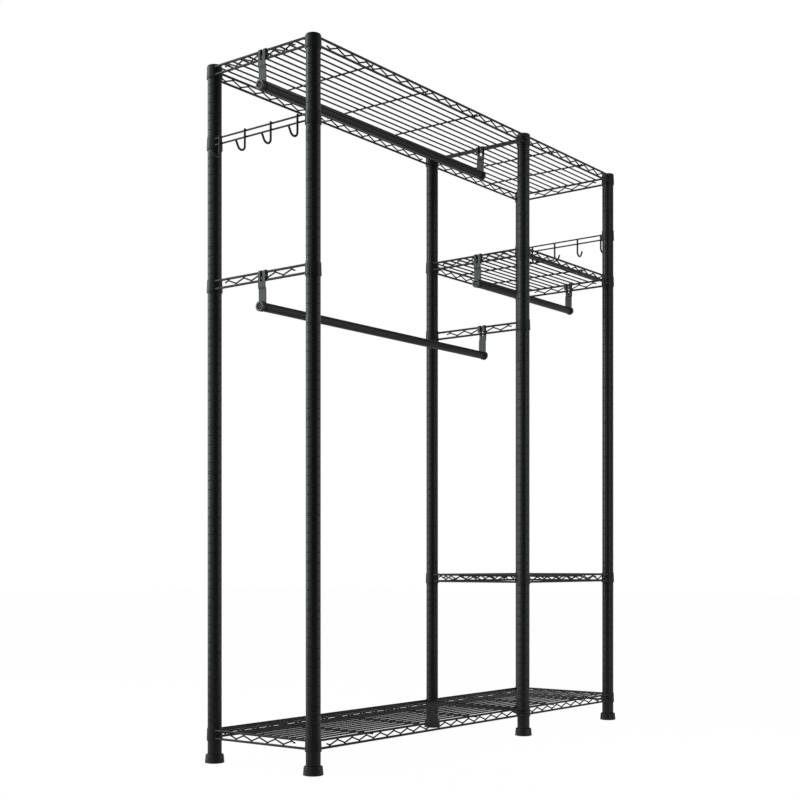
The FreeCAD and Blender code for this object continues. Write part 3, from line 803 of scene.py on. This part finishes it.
for name, node, level in (("topShelf", "top_shelf", "top"), ("bottomShelf", "bottom_shelf", "bottom"),
                          ("rightUpperShelf", "right_upper_shelf", "rightUpper"),
                          ("rightLowerShelf", "right_lower_shelf", "rightLower")):
    names, z = levelColumns[level], levels[level]
    makePiece(name + "Frame", shelfFrame(names, z), "frame", "wire_coat", [node + "_frame"])
    makePiece(name + "Deck", deck(names, z), "frame", "wire_coat", [node + "_deck"])
for column, side in (("left", -1.0), ("mid", 1.0)):
    skins = collarsAt((column,), levels["sideRail"]) + endTruss(column, side, levels["sideRail"])
    makePiece(column + "SideRail", skins, "frame", "wire_coat", [column + "_side_rail"])
print("shelves and side rails made")


# Hook rails: two wires between the end posts and four bent hooks on the outside.

hookShape = {"wireRadius": 0.0026, "spacing": 0.0175, "offset": 0.0132, "radius": 0.0031, "sides": 18,
             "count": 4, "margin": 0.03945, "drop": 0.06435, "bend": 0.014, "bendSteps": 17,
             "lean": 30.0, "leg": 0.0175, "tip": 0.0012, "rise": 0.001, "gap": 0.00005,
             "nugget": (0.0014, 0.0040, 0.0031)}


def hookPath(level):
    # shank straight down, an arc of 150 degrees under it, and a leg that leans out to the tip
    shape = hookShape
    top = level + shape["spacing"] / 2 + shape["wireRadius"]
    shank = shape["offset"] + shape["wireRadius"] + shape["radius"] + shape["gap"]
    low = top - shape["drop"] + shape["radius"] + shape["bend"]
    lean = math.radians(shape["lean"])
    turn = np.linspace(math.pi, 2 * math.pi - lean, shape["bendSteps"])
    arc = np.stack([shank + shape["bend"] * (1 + np.cos(turn)), low + shape["bend"] * np.sin(turn)], -1)
    tip = arc[-1] + shape["leg"] * np.array([math.sin(lean), math.cos(lean)])
    return np.concatenate([[[shank, top + shape["rise"]]], arc, [tip]])


def hookRail(column, side, level, rises):
    shape, aside = hookShape, np.array([side, 0.0])
    made = collarsAt((column,), level)
    for rise in rises:
        section = ringAt(shape["offset"], rise, shape["wireRadius"], shape["sides"])
        made.append(copedBar(section, posts["front", column], posts["back", column], aside, level))
        for row, way in (("front", 1.0), ("back", -1.0)):
            made.append(weldRing(shape["offset"], rise, shape["wireRadius"], posts[row, column],
                                 np.array([0.0, way]), aside, level))
    return made


def hooks(column, side, level, rises):
    # the same bent wire at equal steps between the posts, with a nugget on each rail wire
    shape, path, x = hookShape, hookPath(level), xAt[column]
    ys = np.linspace(yAt["front"] + shape["margin"], yAt["back"] - shape["margin"], shape["count"])
    made = [wire(np.column_stack([x + side * path[:, 0], np.full(len(path), y), path[:, 1]]), (0, 1, 0),
                 shape["radius"], shape["sides"], shape["tip"]) for y in ys]
    touch = x + side * (shape["offset"] + shape["wireRadius"])
    made.append(beads([(touch, y, level + rise) for y in ys for rise in rises], shape["nugget"]))
    return made


for column, side in (("left", -1.0), ("right", 1.0)):
    level, rises = levels["hookRail"], (hookShape["spacing"] / 2, -hookShape["spacing"] / 2)
    makePiece(column + "HookRail", hookRail(column, side, level, rises), "frame", "wire_coat",
              [column + "_hook_rail"])
    makePiece(column + "Hooks", hooks(column, side, level, rises), "frame", "wire_coat", [column + "_hooks"])
print("hook rails made")


# Hanging rods: tube, forked strip brackets, end discs and socket screws.

rodShape = {"wall": 0.001, "edge": 0.0003, "neck": 0.006, "neckDepth": 0.0008, "neckEdge": 0.0001,
            "sides": 56}
discShape = {"radius": 0.0142, "thick": 0.012, "edge": 0.0011, "crown": 0.0002, "draft": 0.0002,
             "waist": 0.004, "waistEdge": 0.0004, "backEdge": 0.0003, "bore": 0.0031,
             "well": 0.0078, "wellDepth": 0.005, "wellBevel": 0.0004, "wellLip": 0.0006,
             "wellEdge": 0.0003, "wellDraft": 0.0002, "wellFillet": 0.0006, "sideBand": 0.0006,
             "faceBand": 0.002, "sides": 56}
screwShape = {"radius": 0.003, "length": 0.03, "tip": 0.0005, "head": 0.0046, "headHigh": 0.0038,
              "edge": 0.0005, "seatEdge": 0.0002, "socket": 0.005, "socketDepth": 0.0024, "land": 0.64,
              "hexShares": (1.03, 1, 1, 0.97, 0.2), "hexEdge": 0.0002, "hexFillet": 0.0001, "sides": 48}
stripShape = {"width": 0.027, "thick": 0.0025, "leg": 0.018, "slot": 0.008, "slotLength": 0.033,
              "jogBelow": 0.016, "jogLong": 0.010, "jogIn": 0.003, "foldSteps": 19, "jogSteps": 13,
              "columns": (-1, -0.97, -0.9, -0.8, -0.66, -0.5), "slotColumns": 9, "bowReach": 2.2,
              "forkRows": 60, "bowRows": 4, "legRows": 39, "eyeRows": 9,
              "edge": 0.0004, "edgeSegments": 2, "edgeAngle": 50}


def rodTube(length, radius):
    # a plain tube whose ends are turned down a little where they go against the brackets
    edge, neck, soft = rodShape["edge"], rodShape["neck"], rodShape["neckEdge"]
    bore, thin = radius - rodShape["wall"], radius - rodShape["neckDepth"]
    corners = [(bore, 0, 0), (thin, 0, soft), (thin, neck - edge, soft), (radius, neck, edge),
               (radius, length - neck, edge), (thin, length - neck + edge, soft), (thin, length, soft),
               (bore, length, 0)]
    profile = softProfile(corners)
    # painted shade over each turned-down end, where it goes against a bracket
    paintedShade = (np.minimum(profile[:, 1], length - profile[:, 1]) < neck - edge / 2).astype(float)
    return turned(profile, rodShape["sides"]), np.repeat(paintedShade, rodShape["sides"])


def endDisc():
    # moulded button with an eased rim, a faintly crowned face and a well for the screw head
    shape = discShape
    r, top, well, bore = shape["radius"], shape["thick"], shape["well"], shape["bore"]
    floor = top - shape["wellDepth"]
    corners = [(bore, 0, 0), (r - shape["draft"], 0, shape["backEdge"]),
               (r, shape["waist"], shape["waistEdge"]), (r, top - shape["crown"], shape["edge"]),
               (well + shape["wellBevel"], top, shape["wellBevel"]),
               (well, top - shape["wellLip"], shape["wellEdge"]),
               (well - shape["wellDraft"], floor, shape["wellFillet"]), (bore, floor, 0)]
    profile = softProfile(corners)
    # painted shade on the side wall below the face band and all over the screw well
    side = (profile[:, 0] > r - shape["sideBand"]) & (profile[:, 1] < top - shape["faceBand"])
    paintedShade = side | (profile[:, 0] < well)
    return turned(profile, shape["sides"]), np.repeat(paintedShade.astype(float), shape["sides"])


def socketScrew():
    # turned head with an eased rim; inside the rim the radius follows a hexagon: half width over the cosine
    # of the angle from the middle of a side
    shape, sides = screwShape, screwShape["sides"]
    seat = discShape["thick"] - discShape["wellDepth"]
    top = seat + shape["headHigh"]
    low, deep, head = top - shape["length"], top - shape["socketDepth"], shape["head"]
    corners = [(shape["tip"], low, 0), (shape["radius"], low, shape["tip"]), (shape["radius"], seat, 0),
               (head, seat, shape["seatEdge"]), (head, top, shape["edge"]),
               (shape["socket"] * shape["land"], top, 0)]
    body = softProfile(corners)
    angle = aroundAngles(sides)
    hexagon = shape["socket"] / 2 / np.cos((angle + math.pi / 6) % (math.pi / 3) - math.pi / 6)
    inner = hexagon * np.array(shape["hexShares"])[:, None]
    radius = np.concatenate([np.repeat(body[:, :1], sides, 1), inner])
    drop = [top, top - shape["hexEdge"], deep + shape["hexFillet"], deep, deep - shape["hexEdge"]]
    height = np.repeat(np.concatenate([body[:, 1], drop])[:, None], sides, 1)
    return skin(np.stack([radius * np.cos(angle), radius * np.sin(angle), height], -1))


def stripPath(foldMiddle, hookZ, jogZ, eyeZ):
    # middle line of the strip as (outwards, height): inner leg up, half circle over the rail, outer leg down,
    # a jog that eases inwards on a cosine, and down past the screw
    shape = stripShape
    over = np.linspace(math.pi, 0, shape["foldSteps"])
    fold = np.stack([foldMiddle * np.cos(over), hookZ + foldMiddle * np.sin(over)], -1)
    t = np.linspace(0, 1, shape["jogSteps"])
    ease = 0.5 - 0.5 * np.cos(math.pi * t)
    jog = np.stack([foldMiddle - shape["jogIn"] * ease, jogZ - shape["jogLong"] * t], -1)
    start, end = [[-foldMiddle, hookZ - shape["leg"]]], [[jog[-1, 0], eyeZ - shape["width"]]]
    return np.concatenate([start, fold, jog, end])


def stripBracket(name, node, body, side, level, rodZ, y):
    # sheet of length by width: rows bow round the slot's end and round the eye; the slot's cells are left out
    shape = stripShape
    low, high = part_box(node)
    middle = (low.x + high.x) / 2
    foldMiddle = (high.x - low.x) / 2 - shape["thick"] / 2
    hookZ = high.z - foldMiddle - shape["thick"] / 2
    path = stripPath(foldMiddle, hookZ, level - wireShape["railHalf"] - shape["jogBelow"], rodZ)
    walk = np.concatenate([[0], np.cumsum(np.linalg.norm(np.diff(path, axis=0), axis=1))])

    def walkAt(z):  # length along the strip at a height on the outer leg
        outer = slice(shape["foldSteps"], None)
        return np.interp(-z, -path[outer, 1], walk[outer])

    half, slit = shape["width"] / 2, shape["slot"] / 2
    leftSide = np.array(shape["columns"]) * half
    w = np.concatenate([leftSide, np.linspace(-slit, slit, shape["slotColumns"]), -leftSide[::-1]])
    inSlot = np.abs(w) <= slit + 1e-6
    slotTop = high.z - shape["slotLength"] + slit
    slotEnd = walkAt(slotTop) + np.where(inSlot, np.sqrt(np.clip(slit ** 2 - w ** 2, 0, None)), 0)
    belowSlot = walkAt(slotTop - shape["bowReach"] * slit)
    eyeTop = walkAt(rodZ + half)
    eyeEnd = walkAt(rodZ) + np.sqrt(np.clip(half ** 2 - w ** 2, 0, None))
    fork = np.linspace(0, walkAt(slotTop), shape["forkRows"], endpoint=False)[:, None] + 0 * w
    t = np.linspace(0, 1, shape["bowRows"], endpoint=False)[:, None]
    bow = slotEnd * (1 - t) + belowSlot * t
    leg = np.linspace(belowSlot, eyeTop, shape["legRows"], endpoint=False)[:, None] + 0 * w
    t = np.linspace(0, 1, shape["eyeRows"])[:, None]
    eye = eyeTop * (1 - t) + eyeEnd * t
    s = np.concatenate([fork, bow, leg, eye])
    out = np.interp(s, walk, path[:, 0])
    z = np.interp(s, walk, path[:, 1])
    grid = np.stack([middle + side * out, y + 0 * s + w, z], -1)
    quads = gridQuads(len(s), len(w), False, False)
    row, column = quads[:, 0] // len(w), quads[:, 0] % len(w)
    opened = (row < len(fork)) & inSlot[column] & inSlot[np.minimum(column + 1, len(w) - 1)]
    used, kept = np.unique(quads[~opened], return_inverse=True)
    sheet = (grid.reshape(-1, 3)[used], kept.reshape(-1, 4), [])
    piece = makePiece(name, [sheet], body, "bracket_coat", [node])
    wall = piece.modifiers.new("stripThickness", "SOLIDIFY")
    wall.thickness, wall.offset, wall.use_even_offset = shape["thick"], 0.0, True
    ease = piece.modifiers.new("easedEdges", "BEVEL")
    ease.width, ease.segments = shape["edge"], shape["edgeSegments"]
    ease.limit_method, ease.angle_limit = "ANGLE", math.radians(shape["edgeAngle"])


disc, discPaintedShade = endDisc()
screw = socketScrew()
for rod, level in (("upper_rod", "top"), ("lower_rod", "sideRail"), ("right_rod", "rightUpper")):
    body, label = rod + "_set", rod.split("_")[0] + "Rod"
    low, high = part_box(rod)
    y, z, radius = (low.y + high.y) / 2, (low.z + high.z) / 2, (high.z - low.z) / 2
    tube, tubePaintedShade = rodTube(high.x - low.x, radius)
    makePiece(label, [laidAlongX(tube, low.x, 1, y, z)], body, "rod_coat", [rod], paintedShade=tubePaintedShade)
    discLow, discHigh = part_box(rod + "_end_discs")
    seats = ((discLow.x + discShape["thick"], -1), (discHigh.x - discShape["thick"], 1))
    makePiece(label + "Discs", [laidAlongX(disc, x, side, y, z) for x, side in seats], body, "disc_plastic",
              [rod + "_end_discs"], paintedShade=np.tile(discPaintedShade, len(seats)))
    makePiece(label + "Screws", [laidAlongX(screw, x, side, y, z) for x, side in seats], body, "screw_steel",
              [rod + "_screws"])
    for end, side in (("left", -1), ("right", 1)):
        stripBracket(label + end.capitalize() + "Bracket", rod + "_" + end + "_bracket", body, side,
                     levels[level], z, y)
print("hanging rods made")


# Studio: white floor and surround that gloss sees darker towards the camera, and soft boxes round the rack.

stageLook = {"floorSize": 40.0, "floorGlow": 0.98, "floorMatt": 0.85, "floorTone": 0.7, "floorNear": -4.0,
             "floorFar": 1.2, "surround": 0.55, "front": 0.02, "ahead": (0.792, 0.6105, 0.0), "power": 1.3,
             "ceiling": 0.75, "ceilingRise": (0.05, 0.6)}


def studioTone(sheet, away, most):
    # what gloss mirrors: dark round the camera and white behind the rack, by ((1 + away) / 2) to a power
    lifted = (0.5 + 0.5 * away) ** stageLook["power"]
    return sheet.tint(lifted * most, grey(stageLook["front"]), grey(1.0))


def whiteFloor():
    mesh = bpy.data.meshes.new("floor")
    half = stageLook["floorSize"] / 2
    corners = [(-half, -half, 0), (half, -half, 0), (half, half, 0), (-half, half, 0)]
    mesh.from_pydata(corners, [], [(0, 1, 2, 3)])
    material = bpy.data.materials.new("floorWhite")
    material.use_nodes = True
    material.node_tree.nodes.clear()
    sheet = Sheet(material.node_tree)
    away = sheet.along(sheet.coordinates("Object"), stageLook["ahead"])
    away = sheet.node("ShaderNodeMapRange", {},
                      {"Value": away, "From Min": stageLook["floorNear"], "From Max": stageLook["floorFar"],
                       "To Min": -1.0, "To Max": 1.0})
    camera = sheet.rays("Camera")
    mirrored = sheet.either(sheet.rays("Glossy"), sheet.rays("Transmission"))
    matt = sheet.node("ShaderNodeBsdfDiffuse", {}, {"Color": grey(stageLook["floorMatt"])})
    tone = sheet.tint(camera, studioTone(sheet, away, stageLook["floorTone"]), grey(1.0))
    glow = sheet.node("ShaderNodeEmission", {}, {"Color": tone, "Strength": 1.0})
    share = camera * stageLook["floorGlow"] + mirrored
    mixed = sheet.node("ShaderNodeMixShader", {}, {0: share, 1: matt, 2: glow})
    sheet.node("ShaderNodeOutputMaterial", {}, {0: mixed})
    mesh.materials.append(material)
    floor = bpy.data.objects.new("floor", mesh)
    bpy.context.scene.collection.objects.link(floor)


def surround():
    # white for the camera, the studio tone under a dark ceiling for gloss, and even grey light for the rest
    world = bpy.data.worlds.new("studio")
    bpy.context.scene.world = world
    world.use_nodes = True
    world.node_tree.nodes.clear()
    sheet = Sheet(world.node_tree)
    direction = sheet.coordinates("Generated")
    away = sheet.along(direction, stageLook["ahead"])
    shade = 1 - stageLook["ceiling"] * sheet.between(sheet.height(direction), *stageLook["ceilingRise"])
    tone = sheet.tint(sheet.rays("Glossy"), grey(stageLook["surround"]), studioTone(sheet, away, shade))
    seen = sheet.either(sheet.rays("Camera"), sheet.rays("Transmission"))
    colour = sheet.tint(seen, tone, grey(1.0))
    background = sheet.node("ShaderNodeBackground", {}, {"Color": colour, "Strength": 1.0})
    sheet.node("ShaderNodeOutputWorld", {}, {0: background})


whiteFloor()
surround()

lampTint = (0.955, 1.0, 1.0)  # a little cool, as the sheen in the photograph
lampLook = {
    "leftBox": {"at": (-2.1, 2.75, 2.3), "to": (0, 0, 1.6), "size": (2.4, 4.4), "watts": 116},
    "leftFill": {"at": (-3.2, 0.6, 2.0), "to": (0, 0, 1.5), "size": (1.8, 4.0), "watts": 20},
    "sideBox": {"at": (-2.4, -0.35, 1.3), "to": (0, 0, 1.2), "size": (0.7, 3.2), "watts": 3},
    "rightBox": {"at": (0.35, -1.5, 1.2), "to": (0.2, 0, 1.1), "size": (1.0, 2.6), "watts": 9},
    "topBox": {"at": (0.0, -0.2, 4.2), "to": (0, 0, 0), "size": (3.0, 2.0), "watts": 24},
}
for name, look in lampLook.items():
    light = bpy.data.lights.new(name, "AREA")
    light.shape, light.size, light.size_y, light.energy = "RECTANGLE", *look["size"], look["watts"]
    light.color = lampTint
    lamp = bpy.data.objects.new(name, light)
    bpy.context.scene.collection.objects.link(lamp)
    aim = np.array(look["to"], float) - np.array(look["at"], float)
    tilt, heading = math.atan2(math.hypot(aim[0], aim[1]), -aim[2]), math.atan2(aim[1], aim[0])
    lamp.location = look["at"]
    lamp.rotation_euler = (tilt, 0, heading - math.pi / 2)
    lamp.visible_camera = False

# the photograph's standpoint: level camera, lifted frame
cameraLook = {"at": (-3.4671, -2.5297, 0.5611), "turn": -52.37, "focusPixels": 1332.2, "horizonPixel": 564.2,
              "framePixels": 800, "sensor": 36}
lens = bpy.data.cameras.new("camera")
lens.sensor_fit, lens.sensor_width = "HORIZONTAL", cameraLook["sensor"]
lens.lens = cameraLook["focusPixels"] * cameraLook["sensor"] / cameraLook["framePixels"]
lens.shift_y = (cameraLook["horizonPixel"] - cameraLook["framePixels"] / 2) / cameraLook["framePixels"]
eye = bpy.data.objects.new("camera", lens)
bpy.context.scene.collection.objects.link(eye)
eye.location = cameraLook["at"]
eye.rotation_euler = (math.pi / 2, 0, math.radians(cameraLook["turn"]))
bpy.context.scene.camera = eye
bpy.context.scene.view_settings.view_transform = "Standard"
print("studio made")
